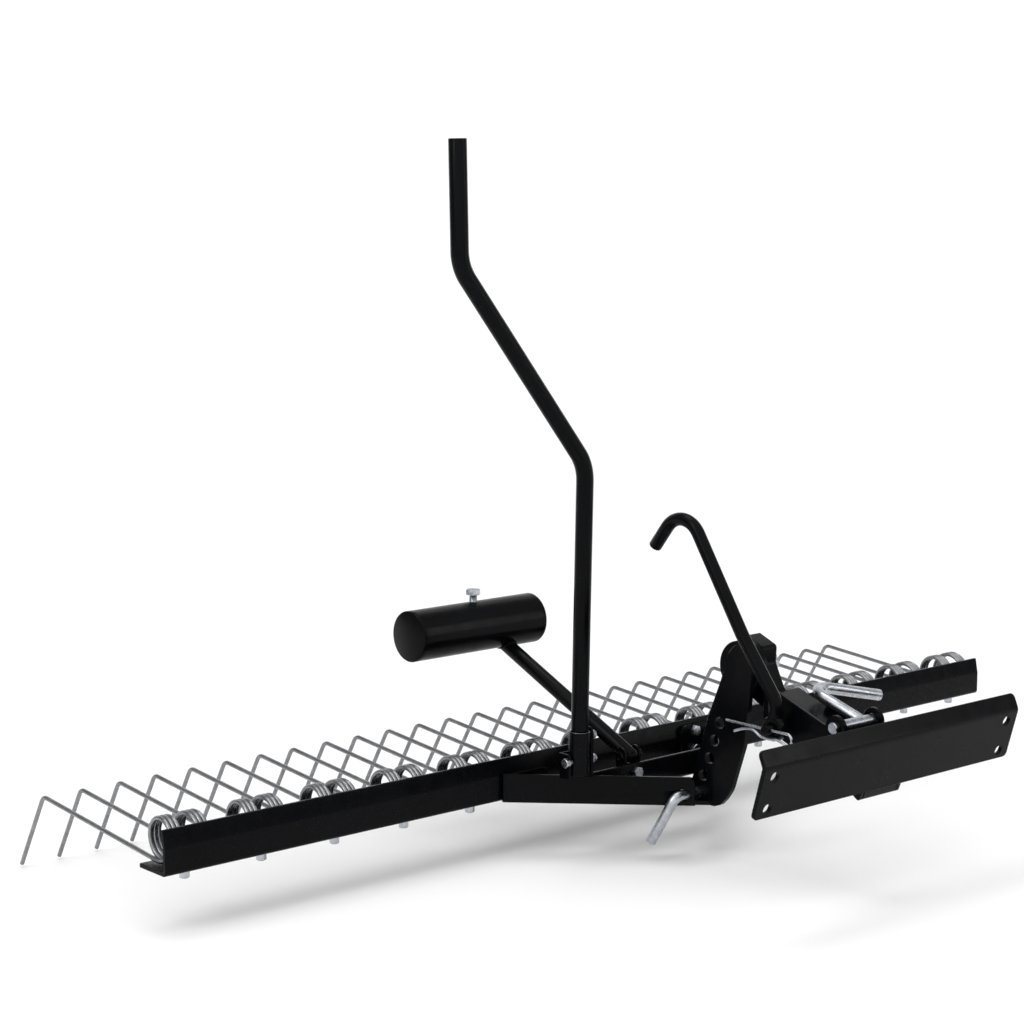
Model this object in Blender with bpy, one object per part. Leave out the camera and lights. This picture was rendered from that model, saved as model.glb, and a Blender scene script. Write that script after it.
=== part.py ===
"""Tow-behind lawn dethatcher for a ride-on mower: spring-tine rake, hitch, lift lever and ballast.

Lengths below are in millimetres in a working frame: X along the rake bar, Y towards the tines, Z up, with
zero at the middle of the bar's lower front edge. Every object is stored in metres, with the centre of the
mounting plate's face as the scene's origin.
"""

import math

import bpy
import numpy as np

MM = 0.001

# Rake bar: a pressed steel angle with a slight crease in its upright leg.
BAR_HALF = 540.0
BAR_LEG = 40.4
BAR_HIGH = 40.0
BAR_CREASE = 24.0
BAR_LEAN = 3.1
SHEET = 4.0

# Spring tines.
TINES = 14
TINE_PITCH = 78.5
WIRE_R = 2.1
COIL_R = 18.5
COIL_Y = 25.7
COIL_Z = 25.0
COIL_TURNS = 3
COIL_PITCH = 4.3
COIL_START = 6.4
COIL_STEPS = 8
WIRE_SIDES = 5
LOOP_Y = 17.5
TINE_KNEE = (218.0, 23.7)
TINE_TIP = (261.6, -49.0)

# V frame, cross member and post plate.
NEAR_PLANE = -176.6
MIRROR_X = -28.0
ARM_HIGH = 27.0
FOOT_HIGH = (26.0, 36.0)
ROOT2 = math.sqrt(2.0)
POST_X = (-35.0, -29.0)
POST_OUTLINE = (
    (-112.0, 0.0), (-112.0, 18.0), (-117.0, 34.0), (-133.0, 85.0), (-148.0, 120.0), (-153.0, 134.0),
    (-157.0, 147.0), (-166.0, 157.0), (-176.0, 157.0), (-184.0, 148.0), (-187.0, 134.0), (-179.0, 65.8),
    (-163.0, 19.2), (-156.0, 9.4), (-149.5, 3.0), (-141.9, 0.0),
)
POST_HOLES = ((-121.0, 10.0), (-127.6, 27.3), (-135.3, 44.8), (-141.5, 62.4), (-147.5, 80.2))
POST_HOLE_R = 5.4

# Rake pivot: the hinge between the rake frame and the hitch.
PIVOT = (0.0, -165.0, 134.0)
STUD_R = 8.0
BORE_R = 8.35

# Hitch arm, release lever, transport hook and its pin.
CHEEK_OUT = 27.0
CHEEK_IN = 23.0
SLOPE = 0.362
RELEASE = (0.0, -280.0, 98.0)
HOOK = (0.0, -223.0, 90.0)
HOOK_X = -42.0
HOOK_R = 6.25
HOOK_PIN_R = 4.6
CLIP_X = -51.5
CLIP_R = 1.3
PIN_R = 4.9

# Mounting plate.
PLATE_HALF = 170.0
PLATE_FACE = 48.8
PLATE_FLANGE = 15.8
PLATE_TILT = math.radians(15.7)
FLANGE_LEAN = math.radians(23.5)
BEND = (-330.0, 94.2)
PLATE_HOLES = ((155.5, 10.0), (155.5, 40.0), (-155.5, 10.0), (-155.5, 40.0))
PLATE_HOLE_R = 4.5

# Lift lever and its socket.
LEVER_Y = -60.0
LEVER_R = 8.0
LEVER_FOOT = (-129.7, 31.5)
LEVER_PATH = ((-129.7, 31.5), (-123.2, 318.0), (-270.4, 500.0), (-272.7, 609.0))
SOCKET_Z = (31.0, 71.0)
LEVER_BOLTS = (43.7, 66.0)

# Weight and its arm.
WEIGHT_X = (-175.5, -17.5)
WEIGHT_C = (134.0, 137.1)
WEIGHT_R = 25.0
ARM_X = -56.0
ARM_R = 7.4
ARM_FOOT = (-50.0, 36.0)
ARM_ANGLE = math.radians(24.0)

SCENE_ORIGIN = np.array(
    (
        0.0,
        BEND[0] + 0.5 * PLATE_FACE * math.sin(PLATE_TILT),
        BEND[1] - 0.5 * PLATE_FACE * math.cos(PLATE_TILT),
    )
)


# ---------------------------------------------------------------- shapes


def turn_frame(axis):
    """Two unit vectors square to the axis."""
    axis = np.asarray(axis, float)
    axis = axis / np.linalg.norm(axis)
    helper = np.array((0.0, 0.0, 1.0)) if abs(axis[2]) < 0.9 else np.array((1.0, 0.0, 0.0))
    first = np.cross(helper, axis)
    first = first / np.linalg.norm(first)
    return axis, first, np.cross(axis, first)


def bridge(first, second):
    """Faces between two closed loops of vertex numbers, whose counts may differ."""
    na, nb = len(first), len(second)
    faces = []
    if na == nb:
        for i in range(na):
            j = (i + 1) % na
            faces.append((first[i], first[j], second[j], second[i]))
        return faces
    i = j = 0
    while i < na or j < nb:
        if j >= nb or (i < na and (i + 1) / na <= (j + 1) / nb):
            faces.append((first[i % na], first[(i + 1) % na], second[j % nb]))
            i += 1
        else:
            faces.append((first[i % na], second[(j + 1) % nb], second[j % nb]))
            j += 1
    return faces


def stack(centre, axis, rings, ring_shaped=False):
    """A solid of stacked rings along an axis. Each ring is (distance, radius, corners)."""
    axis, first, second = turn_frame(axis)
    centre = np.asarray(centre, float)
    verts = []
    loops = []
    for distance, radius, corners in rings:
        loop = []
        for i in range(corners):
            angle = 2.0 * math.pi * i / corners
            loop.append(len(verts))
            across = math.cos(angle) * first + math.sin(angle) * second
            verts.append(centre + axis * distance + across * radius)
        loops.append(loop)
    faces = []
    for a, b in zip(loops, loops[1:]):
        faces += bridge(a, b)
    if ring_shaped:
        faces += bridge(loops[-1], loops[0])
    else:
        faces.append(tuple(reversed(loops[0])))
        faces.append(tuple(loops[-1]))
    return verts, faces


def slab(outline, thickness, origin, u, v):
    """An outline in the plane of u and v, thickened along u x v."""
    u = np.asarray(u, float)
    v = np.asarray(v, float)
    normal = np.cross(u, v)
    origin = np.asarray(origin, float)
    count = len(outline)
    verts = []
    for step in (0.0, thickness):
        for a, b in outline:
            verts.append(origin + u * a + v * b + normal * step)
    faces = [tuple(range(count - 1, -1, -1)), tuple(range(count, 2 * count))]
    for i in range(count):
        j = (i + 1) % count
        faces.append((i, j, count + j, count + i))
    return verts, faces


def along_x(outline, x0, x1):
    """An outline in Y and Z, as a solid from x0 to x1."""
    return slab(outline, x1 - x0, (x0, 0.0, 0.0), (0, 1, 0), (0, 0, 1))


def upright(outline, z0, z1):
    """An outline in X and Y, as a solid from z0 to z1."""
    return slab(outline, z1 - z0, (0.0, 0.0, z0), (1, 0, 0), (0, 1, 0))


def box(x0, x1, y0, y1, z0, z1):
    return upright(((x0, y0), (x1, y0), (x1, y1), (x0, y1)), z0, z1)


def rounded(points, radii, steps):
    """A path with each inner corner turned into an arc."""
    points = [np.asarray(p, float) for p in points]
    path = [points[0]]
    for i in range(1, len(points) - 1):
        here = points[i]
        back = points[i - 1] - here
        ahead = points[i + 1] - here
        back = back / np.linalg.norm(back)
        ahead = ahead / np.linalg.norm(ahead)
        half = 0.5 * math.acos(max(-1.0, min(1.0, float(np.dot(back, ahead)))))
        reach = radii[i - 1] / math.tan(half)
        middle = back + ahead
        middle = middle / np.linalg.norm(middle)
        centre = here + middle * (radii[i - 1] / math.sin(half))
        start = here + back * reach - centre
        end = here + ahead * reach - centre
        sweep = math.acos(max(-1.0, min(1.0, float(np.dot(start, end)) / radii[i - 1] ** 2)))
        for k in range(steps + 1):
            t = k / steps
            a = math.sin((1 - t) * sweep) / math.sin(sweep)
            b = math.sin(t * sweep) / math.sin(sweep)
            path.append(centre + a * start + b * end)
    path.append(points[-1])
    return path


def tube(path, radius, sides):
    """A round bar along a path, closed at both ends, with no twist."""
    path = [np.asarray(p, float) for p in path]
    count = len(path)
    tangents = []
    for i in range(count):
        t = path[min(i + 1, count - 1)] - path[max(i - 1, 0)]
        tangents.append(t / np.linalg.norm(t))
    axis, side, _ = turn_frame(tangents[0])
    verts = []
    loops = []
    for i in range(count):
        t = tangents[i]
        side = side - t * float(np.dot(side, t))
        side = side / np.linalg.norm(side)
        other = np.cross(t, side)
        widen = 1.0
        if 0 < i < count - 1:
            chord = path[i + 1] - path[i]
            chord = chord / np.linalg.norm(chord)
            widen = 1.0 / max(0.9, float(np.dot(chord, t)))
        loop = []
        for k in range(sides):
            angle = 2.0 * math.pi * k / sides
            loop.append(len(verts))
            verts.append(path[i] + radius * (math.cos(angle) * side + math.sin(angle) * other))
        del widen
        loops.append(loop)
    faces = []
    for a, b in zip(loops, loops[1:]):
        faces += bridge(a, b)
    faces.append(tuple(reversed(loops[0])))
    faces.append(tuple(loops[-1]))
    return verts, faces


# ---------------------------------------------------------------- objects


def clear_scene():
    for obj in list(bpy.data.objects):
        bpy.data.objects.remove(obj, do_unlink=True)


def paint(name, colour, metallic, roughness):
    material = bpy.data.materials.new(name)
    material.use_nodes = True
    shader = material.node_tree.nodes["Principled BSDF"]
    shader.inputs["Base Color"].default_value = (*colour, 1.0)
    shader.inputs["Metallic"].default_value = metallic
    shader.inputs["Roughness"].default_value = roughness
    material.diffuse_color = (*colour, 1.0)
    return material


def holder(name, at):
    empty = bpy.data.objects.new(name, None)
    bpy.context.scene.collection.objects.link(empty)
    empty.location = tuple((np.asarray(at, float) - SCENE_ORIGIN) * MM)
    empty.empty_display_size = 0.03
    return empty


def facing_out(shape):
    """The same shape with its faces turned outwards."""
    verts, faces = shape
    points = [np.asarray(v, float) for v in verts]
    volume = 0.0
    for face in faces:
        for i in range(1, len(face) - 1):
            volume += float(np.dot(points[face[0]], np.cross(points[face[i]], points[face[i + 1]])))
    if volume < 0.0:
        faces = [tuple(reversed(face)) for face in faces]
    return points, faces


def make(name, shape, colour=None, at=None, parent=None, parent_at=None, smooth=False):
    """An object from a shape in the working frame, with its origin at the given point."""
    verts, faces = facing_out(shape)
    at = SCENE_ORIGIN if at is None else np.asarray(at, float)
    mesh = bpy.data.meshes.new(name)
    mesh.from_pydata([tuple((np.asarray(v, float) - at) * MM) for v in verts], [], faces)
    mesh.validate()
    mesh.update()
    if smooth:
        mesh.shade_smooth()
    obj = bpy.data.objects.new(name, mesh)
    bpy.context.scene.collection.objects.link(obj)
    base = SCENE_ORIGIN if parent_at is None else np.asarray(parent_at, float)
    obj.location = tuple((at - base) * MM)
    if parent is not None:
        obj.parent = parent
    if colour is not None:
        mesh.materials.append(colour)
    return obj


def combine(obj, shapes, operation):
    """Adds shapes to an object, or cuts them out of it, and keeps the result as its mesh."""
    base = obj.matrix_world
    bpy.context.view_layer.update()
    origin = np.array(obj.matrix_world.translation) / MM + SCENE_ORIGIN
    for shape in shapes:
        tool = make("tool", shape, None, origin)
        tool.location = obj.matrix_world.translation
        tool.hide_render = True
        tool.display_type = "WIRE"
        step = obj.modifiers.new("step", "BOOLEAN")
        step.operation = operation
        step.solver = "EXACT"
        step.object = tool
        bpy.context.view_layer.update()
        graph = bpy.context.evaluated_depsgraph_get()
        made = bpy.data.meshes.new_from_object(obj.evaluated_get(graph), depsgraph=graph)
        obj.modifiers.clear()
        old = obj.data
        obj.data = made
        made.name = obj.name
        bpy.data.meshes.remove(old)
        tool_mesh = tool.data
        bpy.data.objects.remove(tool, do_unlink=True)
        bpy.data.meshes.remove(tool_mesh)
    del base
    return obj


def cut(obj, *shapes):
    return combine(obj, shapes, "DIFFERENCE")


def join(obj, *shapes):
    return combine(obj, shapes, "UNION")


def hole_x(y, z, radius, x0, x1, corners=16):
    return stack((0.0, y, z), (1, 0, 0), ((x0, radius, corners), (x1, radius, corners)))


def hole_z(x, y, radius, z0, z1, corners=8):
    return stack((x, y, 0.0), (0, 0, 1), ((z0, radius, corners), (z1, radius, corners)))


def bolt(centre, axis, head_start, grip, tail, shank, head_across, head_high, washer=0.0):
    """A hexagon bolt with its nut run on, as one solid. Distances run along the axis."""
    head_r = head_across / math.sqrt(3.0)
    rings = [(head_start, head_r, 6), (head_start + head_high, head_r, 6)]
    start = head_start + head_high
    if washer > 0.0:
        rings += [(start, washer, 12), (start + 1.4, washer, 12)]
        start += 1.4
    rings += [(start, shank, 6), (grip, shank, 6)]
    rings += [(grip, head_r, 6), (grip + head_high, head_r, 6)]
    rings += [(grip + head_high, shank, 6), (tail, shank, 6)]
    return stack(centre, axis, rings)


# ---------------------------------------------------------------- rake


def tine_x(index):
    return (index - (TINES - 1) / 2.0) * TINE_PITCH


def rake_bar(colour, parent):
    lean = BAR_LEAN / (BAR_HIGH - BAR_CREASE)
    outline = (
        (0.0, 3.4), (1.0, 1.0), (3.4, 0.0), (BAR_LEG, 0.0), (BAR_LEG, SHEET), (SHEET, SHEET),
        (SHEET, BAR_CREASE - 0.4), (SHEET + lean * (BAR_HIGH - BAR_CREASE), BAR_HIGH - 0.4),
        (BAR_LEAN, BAR_HIGH), (0.0, BAR_CREASE),
    )
    bar = make("rake_bar", along_x(outline, -BAR_HALF, BAR_HALF), colour, PIVOT, parent, PIVOT)
    for index in range(TINES):
        cut(bar, hole_z(tine_x(index), LOOP_Y, 3.5, -2.0, 6.0, 6))
    for _, x, z in FOOT_BOLTS:
        cut(bar, stack((x, 0.0, z), (0, 1, 0), ((-3.0, 3.5, 8), (12.0, 3.5, 8))))
    return bar


def tine_path(steps):
    """One tine's wire from the left tip to the right tip, about x = 0."""
    lean = math.atan2(TINE_KNEE[1] - (COIL_Z - COIL_R), TINE_KNEE[0] - COIL_Y)
    for _ in range(4):
        foot = (COIL_Y + COIL_R * math.sin(lean), COIL_Z - COIL_R * math.cos(lean))
        lean = math.atan2(TINE_KNEE[1] - foot[1], TINE_KNEE[0] - foot[0])
    right = []
    for k in range(1, 4):
        angle = -math.pi / 2 + k * math.pi / 6
        right.append((COIL_START * math.cos(angle), LOOP_Y + COIL_START * math.sin(angle), COIL_Z - COIL_R))
    whole = 2.0 * math.pi * COIL_TURNS + lean
    count = COIL_TURNS * steps
    for k in range(count + 1):
        turned = whole * k / count
        x = COIL_START + COIL_PITCH * turned / (2.0 * math.pi)
        angle = -math.pi / 2 + turned
        right.append((x, COIL_Y + COIL_R * math.cos(angle), COIL_Z + COIL_R * math.sin(angle)))
    side = right[-1][0]
    bend = rounded(
        ((side, *foot), (side, *TINE_KNEE), (side, *TINE_TIP)),
        (9.0,),
        3,
    )
    right += [tuple(p) for p in bend[1:]]
    left = [(-x, y, z) for x, y, z in reversed(right)]
    return left + [(0.0, LOOP_Y - COIL_START, COIL_Z - COIL_R)] + right


def tines(colour, parent):
    path = tine_path(COIL_STEPS)
    for index in range(TINES):
        x = tine_x(index)
        moved = [(px + x, py, pz) for px, py, pz in path]
        make("tine_%02d" % (index + 1), tube(moved, WIRE_R, WIRE_SIDES), colour, PIVOT, parent, PIVOT)


def tine_bolts(colour, parent):
    """Flange bolt from below, clamp washer over the wire's loop, and nut, joined as one solid each."""
    rings = (
        (-9.4, 4.6, 6), (-2.3, 4.6, 6), (-2.3, 6.5, 10), (-0.3, 6.5, 10), (-0.3, 3.0, 6), (8.9, 3.0, 6),
        (8.9, 8.3, 12), (10.7, 8.3, 12), (10.7, 5.8, 6), (15.2, 5.8, 6), (15.2, 3.0, 6), (17.2, 3.0, 6),
    )
    for index in range(TINES):
        name = "tine_bolt_%02d" % (index + 1)
        make(name, stack((tine_x(index), LOOP_Y, 0.0), (0, 0, 1), rings), colour, PIVOT, parent, PIVOT)


FOOT_BOLTS = (("near_lower", -154.5, 11.0), ("far_lower", TINE_PITCH, 11.0), ("far_upper", TINE_PITCH, 30.0))


def flip_x(shape):
    """The mirror image of a shape across the V frame's middle plane."""
    verts, faces = shape
    moved = [np.array((2.0 * MIRROR_X - v[0], v[1], v[2])) for v in verts]
    return moved, faces


def v_arm(name, mirrored, reach, plate_x, colour, parent):
    """Angle from the bar to the post plate at 45 degrees, with a foot against the bar."""
    u = (1.0 / ROOT2, -1.0 / ROOT2, 0.0)
    corner = 6.0
    outline = (
        (4.5, 0.0), (reach, 0.0), (reach, ARM_HIGH - corner), (reach - 0.8, ARM_HIGH - 3.0),
        (reach - 3.0, ARM_HIGH - 0.8), (reach - corner, ARM_HIGH), (4.5, ARM_HIGH),
    )
    web = slab(outline, -SHEET, (NEAR_PLANE, 0.0, 0.0), u, (0, 0, 1))
    inside = NEAR_PLANE + 4.9
    far = NEAR_PLANE + 24.0 * ROOT2
    leg = upright(
        ((inside + 0.35, -0.35), (plate_x, inside - plate_x), (plate_x, far - plate_x), (far + 0.35, -0.35)),
        0.02,
        SHEET,
    )
    foot = box(-172.3, -117.0, -4.32, -0.3, 0.01, FOOT_HIGH[1 if mirrored else 0])
    shapes = [web, leg, foot]
    if mirrored:
        shapes = [flip_x(s) for s in shapes]
    arm = make(name, shapes[0], colour, PIVOT, parent, PIVOT)
    join(arm, shapes[1], shapes[2])
    for label, x, z in FOOT_BOLTS:
        if label.startswith("far") == mirrored:
            cut(arm, stack((x, 0.0, z), (0, 1, 0), ((-8.0, 3.5, 8), (3.0, 3.5, 8))))
    return arm


def v_frame(black, zinc, parent):
    near = v_arm("v_arm_near", False, 183.3, POST_X[0] - 0.3, black, parent)
    cut(near, hole_x(POST_HOLES[0][0], POST_HOLES[0][1], 5.4, -75.0, -38.0, 12))
    v_arm("v_arm_far", True, 170.0, -2.0 * 28.0 - (POST_X[1] + 0.3), black, parent)
    for label, x, z in FOOT_BOLTS:
        start = 4.3 if z < BAR_CREASE else 6.7
        rings = (
            (-9.0, 5.6, 6), (-4.7, 5.6, 6), (-4.7, 3.0, 6), (start, 3.0, 6), (start, 5.6, 6),
            (start + 4.6, 5.6, 6), (start + 4.6, 3.0, 6), (start + 6.4, 3.0, 6),
        )
        make("v_arm_bolt_" + label, stack((x, 0.0, z), (0, 1, 0), rings), zinc, PIVOT, parent, PIVOT)


def cross_member(colour, parent):
    """Angle across the V, with mitred ends that meet the V arms."""
    section = (
        (-60.0, 4.4), (-60.0, 29.0), (-56.0, 29.0), (-56.0, 8.4), (-34.0, 8.4), (-34.0, 4.4),
    )
    near = NEAR_PLANE + SHEET * ROOT2 + 0.45
    far = 2.0 * MIRROR_X - near
    verts = []
    for sign in (0, 1):
        for y, z in section:
            x = near - y if sign == 0 else far + y
            verts.append((x, y, z))
    count = len(section)
    faces = [tuple(range(count)), tuple(range(2 * count - 1, count - 1, -1))]
    for i in range(count):
        j = (i + 1) % count
        faces.append((j, i, count + i, count + j))
    bar = make("cross_member", (verts, faces), colour, PIVOT, parent, PIVOT)
    cut(bar, stack((ARM_X, 0.0, 20.5), (0, 1, 0), ((-66.0, 3.4, 8), (-50.0, 3.4, 8))))
    return bar


def post_plate(colour, parent):
    plate = make("post_plate", along_x(POST_OUTLINE, *POST_X), colour, PIVOT, parent, PIVOT)
    for y, z in POST_HOLES:
        cut(plate, hole_x(y, z, POST_HOLE_R, -40.0, -24.0))
    cut(plate, hole_x(PIVOT[1], PIVOT[2], BORE_R, -40.0, -24.0, 24))
    return plate


def pivot_parts(black, zinc, parent):
    at = (0.0, PIVOT[1], PIVOT[2])
    spacer = ((-28.7, BORE_R, 24), (-28.7, 24.5, 24), (-14.7, 24.5, 24), (-14.7, BORE_R, 24))
    make("pivot_spacer", stack(at, (1, 0, 0), spacer, True), black, PIVOT, parent, PIVOT)
    stud = ((-34.9, STUD_R, 24), (14.5, STUD_R, 24), (15.5, STUD_R - 1.0, 24))
    make("pivot_stud", stack(at, (1, 0, 0), stud), zinc, PIVOT, parent, PIVOT)
    nut = (
        (4.8, BORE_R, 12), (4.8, 14.5, 12), (6.8, 14.5, 12), (6.8, 13.3, 6), (13.0, 13.3, 6),
        (13.0, BORE_R, 12),
    )
    make("pivot_nut", stack(at, (1, 0, 0), nut, True), zinc, PIVOT, parent, PIVOT)


def lever_x(z):
    (x0, z0), (x1, z1) = LEVER_PATH[0], LEVER_PATH[1]
    return x0 + (x1 - x0) * (z - z0) / (z1 - z0)


def lever_parts(black, zinc, parent):
    path = rounded([(x, LEVER_Y, z) for x, z in LEVER_PATH], (40.0, 40.0), 5)
    lever = make("lift_lever", tube(path, LEVER_R, 14), black, PIVOT, parent, PIVOT)
    bottom = (lever_x(SOCKET_Z[0]), LEVER_Y, SOCKET_Z[0])
    lean = (lever_x(SOCKET_Z[1]) - bottom[0], 0.0, SOCKET_Z[1] - SOCKET_Z[0])
    long = math.hypot(lean[0], lean[2])
    wall = ((0.0, 8.45, 16), (0.0, 10.0, 16), (long, 10.0, 16), (long, 8.45, 16))
    socket = make("lever_socket", stack(bottom, lean, wall, True), black, PIVOT, parent, PIVOT)
    outline = (
        (-143.2, -62.0), (-140.4, -62.0), (-140.4, -49.4), (-118.0, -49.4), (-118.0, -62.0), (-115.4, -62.0),
        (-115.4, -46.4), (-143.2, -46.4),
    )
    bracket = make("lever_bracket", upright(outline, 27.4, 51.0), black, PIVOT, parent, PIVOT)
    join(bracket, box(-118.0, -115.4, -65.0, -46.4, 28.0, 74.0))
    low, high = LEVER_BOLTS
    for thing in (lever, socket, bracket):
        cut(thing, hole_x(LEVER_Y, low, 3.0, -160.0, -100.0, 8))
        cut(thing, hole_x(LEVER_Y, high, 3.0, -131.0, -100.0, 8))
    shape = bolt((0.0, LEVER_Y, low), (1, 0, 0), -147.8, -115.0, -108.6, 2.6, 8.0, 4.2)
    make("lever_bolt_lower", shape, zinc, PIVOT, parent, PIVOT)
    screw = ((-130.0, 2.6, 6), (-115.0, 2.6, 6), (-115.0, 4.6, 6), (-110.8, 4.6, 6))
    make("lever_bolt_upper", stack((0.0, LEVER_Y, high), (1, 0, 0), screw), zinc, PIVOT, parent, PIVOT)


def weight_parts(black, zinc, parent):
    base = box(-66.2, -45.8, -55.6, -52.6, 8.7, 27.0)
    foot = make("weight_foot", base, black, PIVOT, parent, PIVOT)
    cheek = ((-55.7, 8.6), (-45.0, 8.6), (-42.5, 14.0), (-42.5, 39.0), (-45.0, 42.6), (-50.0, 43.9), (-55.7, 41.5))
    join(foot, along_x(cheek, -66.3, -63.7), along_x(cheek, -48.3, -45.7))
    cut(foot, hole_x(ARM_FOOT[0], ARM_FOOT[1], 3.4, -80.0, -30.0, 8))
    cut(foot, stack((ARM_X, 0.0, 20.5), (0, 1, 0), ((-66.0, 3.4, 8), (-44.0, 3.4, 8))))

    ahead = (0.0, math.cos(ARM_ANGLE), math.sin(ARM_ANGLE))
    rings = ((-6.4, 5.3, 12), (-4.4, ARM_R, 12), (206.0, ARM_R, 12))
    arm = make("weight_arm", stack((ARM_X, *ARM_FOOT), ahead, rings), black, PIVOT, parent, PIVOT)
    cut(arm, hole_x(ARM_FOOT[0], ARM_FOOT[1], 3.4, -80.0, -30.0, 8))
    cut(arm, hole_x(WEIGHT_C[0], WEIGHT_C[1], WEIGHT_R + 0.3, -100.0, 10.0, 32))

    shape = bolt((0.0, *ARM_FOOT), (1, 0, 0), -69.5, -45.4, -41.3, 3.0, 8.0, 2.9)
    make("weight_arm_bolt", shape, black, PIVOT, parent, PIVOT)
    shape = bolt((ARM_X, 0.0, 20.5), (0, 1, 0), -64.8, -52.3, -45.6, 3.0, 10.0, 4.5)
    make("weight_foot_bolt", shape, zinc, PIVOT, parent, PIVOT)

    rings = (
        (WEIGHT_X[0], WEIGHT_R - 1.0, 32), (WEIGHT_X[0] + 1.0, WEIGHT_R, 32), (WEIGHT_X[1] - 1.0, WEIGHT_R, 32),
        (WEIGHT_X[1], WEIGHT_R - 1.0, 32),
    )
    body = make("weight_cylinder", stack((0.0, *WEIGHT_C), (1, 0, 0), rings), black, PIVOT, parent, PIVOT)
    cut(body, hole_z(-93.8, WEIGHT_C[0], 4.4, 148.0, 180.0, 12))
    screw = ((149.0, 4.0, 12), (169.3, 4.0, 12), (169.3, 7.5, 6), (174.8, 7.5, 6))
    shape = stack((-93.8, WEIGHT_C[0], 0.0), (0, 0, 1), screw)
    make("weight_bolt", shape, zinc, PIVOT, parent, PIVOT)


def height_pin(colour, parent):
    y, z = POST_HOLES[0]
    path = rounded(((-18.0, y, z), (-64.5, y, z), (-80.0, y + 16.5, z - 44.0)), (9.0,), 5)
    at = (-32.0, y, z)
    make("height_pin", tube(path, PIN_R, 12), colour, at, parent, PIVOT)


# ---------------------------------------------------------------- hitch


def cheek_top(y):
    return 120.5 + SLOPE * (y + 206.0)


def plate_back(z):
    """Y of the mounting plate's back face at a height, with a small gap."""
    down = np.array((math.sin(PLATE_TILT), -math.cos(PLATE_TILT)))
    back = np.array((math.cos(PLATE_TILT), math.sin(PLATE_TILT)))
    start = np.array(BEND) + back * (SHEET + 0.35)
    return start[0] + down[0] * (z - start[1]) / down[1]


def mount_plate(colour):
    down = np.array((0.0, math.sin(PLATE_TILT), -math.cos(PLATE_TILT)))
    up = np.array((0.0, math.sin(FLANGE_LEAN), math.cos(FLANGE_LEAN)))
    bend = (0.0, *BEND)
    half, low, high = PLATE_HALF, PLATE_FACE, PLATE_FLANGE
    face = (
        (-half, -1.2), (half, -1.2), (half, low - 5.0), (half - 1.5, low - 1.5), (half - 5.0, low),
        (-half + 5.0, low), (-half + 1.5, low - 1.5), (-half, low - 5.0),
    )
    flange = (
        (half - 0.01, 0.0), (-half + 0.01, 0.0), (-half + 0.01, high - 5.0), (-half + 1.5, high - 1.5),
        (-half + 5.0, high), (half - 5.0, high), (half - 1.5, high - 1.5), (half - 0.01, high - 5.0),
    )
    plate = make("mount_plate", slab(face, SHEET, bend, (1, 0, 0), down), colour)
    join(plate, slab(flange, -SHEET, bend, (1, 0, 0), up))
    normal = (0.0, math.cos(PLATE_TILT), math.sin(PLATE_TILT))
    for x, drop in PLATE_HOLES:
        at = np.array(bend) + np.array((x, 0.0, 0.0)) + down * drop
        cut(plate, stack(at, normal, ((-3.0, PLATE_HOLE_R, 16), (SHEET + 3.0, PLATE_HOLE_R, 16))))
    return plate


def arm_cheek(name, x0, x1, end, colour):
    """One side of the hitch arm, with an ear round the release lever's cross tube."""
    outline = [
        (end, cheek_top(end) - 36.0), (end, cheek_top(end) - 4.0), (end - 4.0, cheek_top(end - 4.0)),
        (-269.0, 98.0), (-272.2, 105.8), (-280.0, 109.0), (-287.8, 105.8), (-291.0, 98.0),
        (-292.5, cheek_top(-292.5)),
    ]
    top = cheek_top(-320.0)
    outline.append((plate_back(top), top))
    outline.append((plate_back(48.6), 48.6))
    outline += [(-308.0, 37.0), (-296.0, cheek_top(-296.0) - 43.0), (end - 4.0, cheek_top(end - 4.0) - 40.4)]
    cheek = make(name, along_x(outline, x0, x1), colour)
    cut(cheek, hole_x(RELEASE[1], RELEASE[2], 5.75, x0 - 4.0, x1 + 4.0))
    return cheek


def hitch_tongue(colour):
    """The arm's inner member, narrowed to a lug that carries the rake pivot."""
    low = 84.5 - 12.0
    slab_outline = (
        (-190.0, 108.5 + SLOPE * 16.0), (plate_back(67.5), 67.5), (plate_back(48.8), 48.8),
        (-308.3, 37.3), (-297.5, 43.2), (-293.5, 52.9), (-190.0, low + SLOPE * 16.0 + 12.0),
    )
    tongue = make("hitch_tongue", along_x(slab_outline, -22.6, 22.6), colour)
    lug = (
        (-146.5, 118.0), (-146.5, 150.0), (-150.6, 158.4), (-160.6, 161.6), (-181.9, 153.1), (-181.0, 137.0),
        (-192.5, 114.0), (-212.0, 102.0), (-212.0, 90.0), (-192.0, 92.5), (-165.0, 106.0), (-152.0, 110.0),
    )
    join(tongue, along_x(lug, -14.4, 4.5))
    cut(tongue, hole_x(PIVOT[1], PIVOT[2], BORE_R, -30.0, 30.0, 24))
    return tongue


def hook_parts(black, zinc):
    pin = make("hook_pin", hole_x(HOOK[1], HOOK[2], HOOK_PIN_R, -56.5, -CHEEK_OUT - 0.3, 16), black)
    cut(pin, stack((CLIP_X, 0.0, HOOK[2]), (0, 1, 0), ((-240.0, 1.65, 8), (-205.0, 1.65, 8))))

    eye = ((-5.0, 5.1, 20), (-5.0, 11.6, 20), (5.0, 11.6, 20), (5.0, 5.1, 20))
    hook = make("transport_hook", stack((HOOK_X, HOOK[1], HOOK[2]), (1, 0, 0), eye, True), black, HOOK)
    path = rounded(
        (
            (HOOK_X, HOOK[1], HOOK[2] + 8.2), (HOOK_X, -223.6, 114.0), (HOOK_X, -181.2, 168.6),
            (HOOK_X, -106.0, 283.0), (HOOK_X, -68.7, 236.0),
        ),
        (18.0, 60.0, 25.0),
        6,
    )
    join(hook, tube(path, HOOK_R, 12))
    return hook


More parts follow.
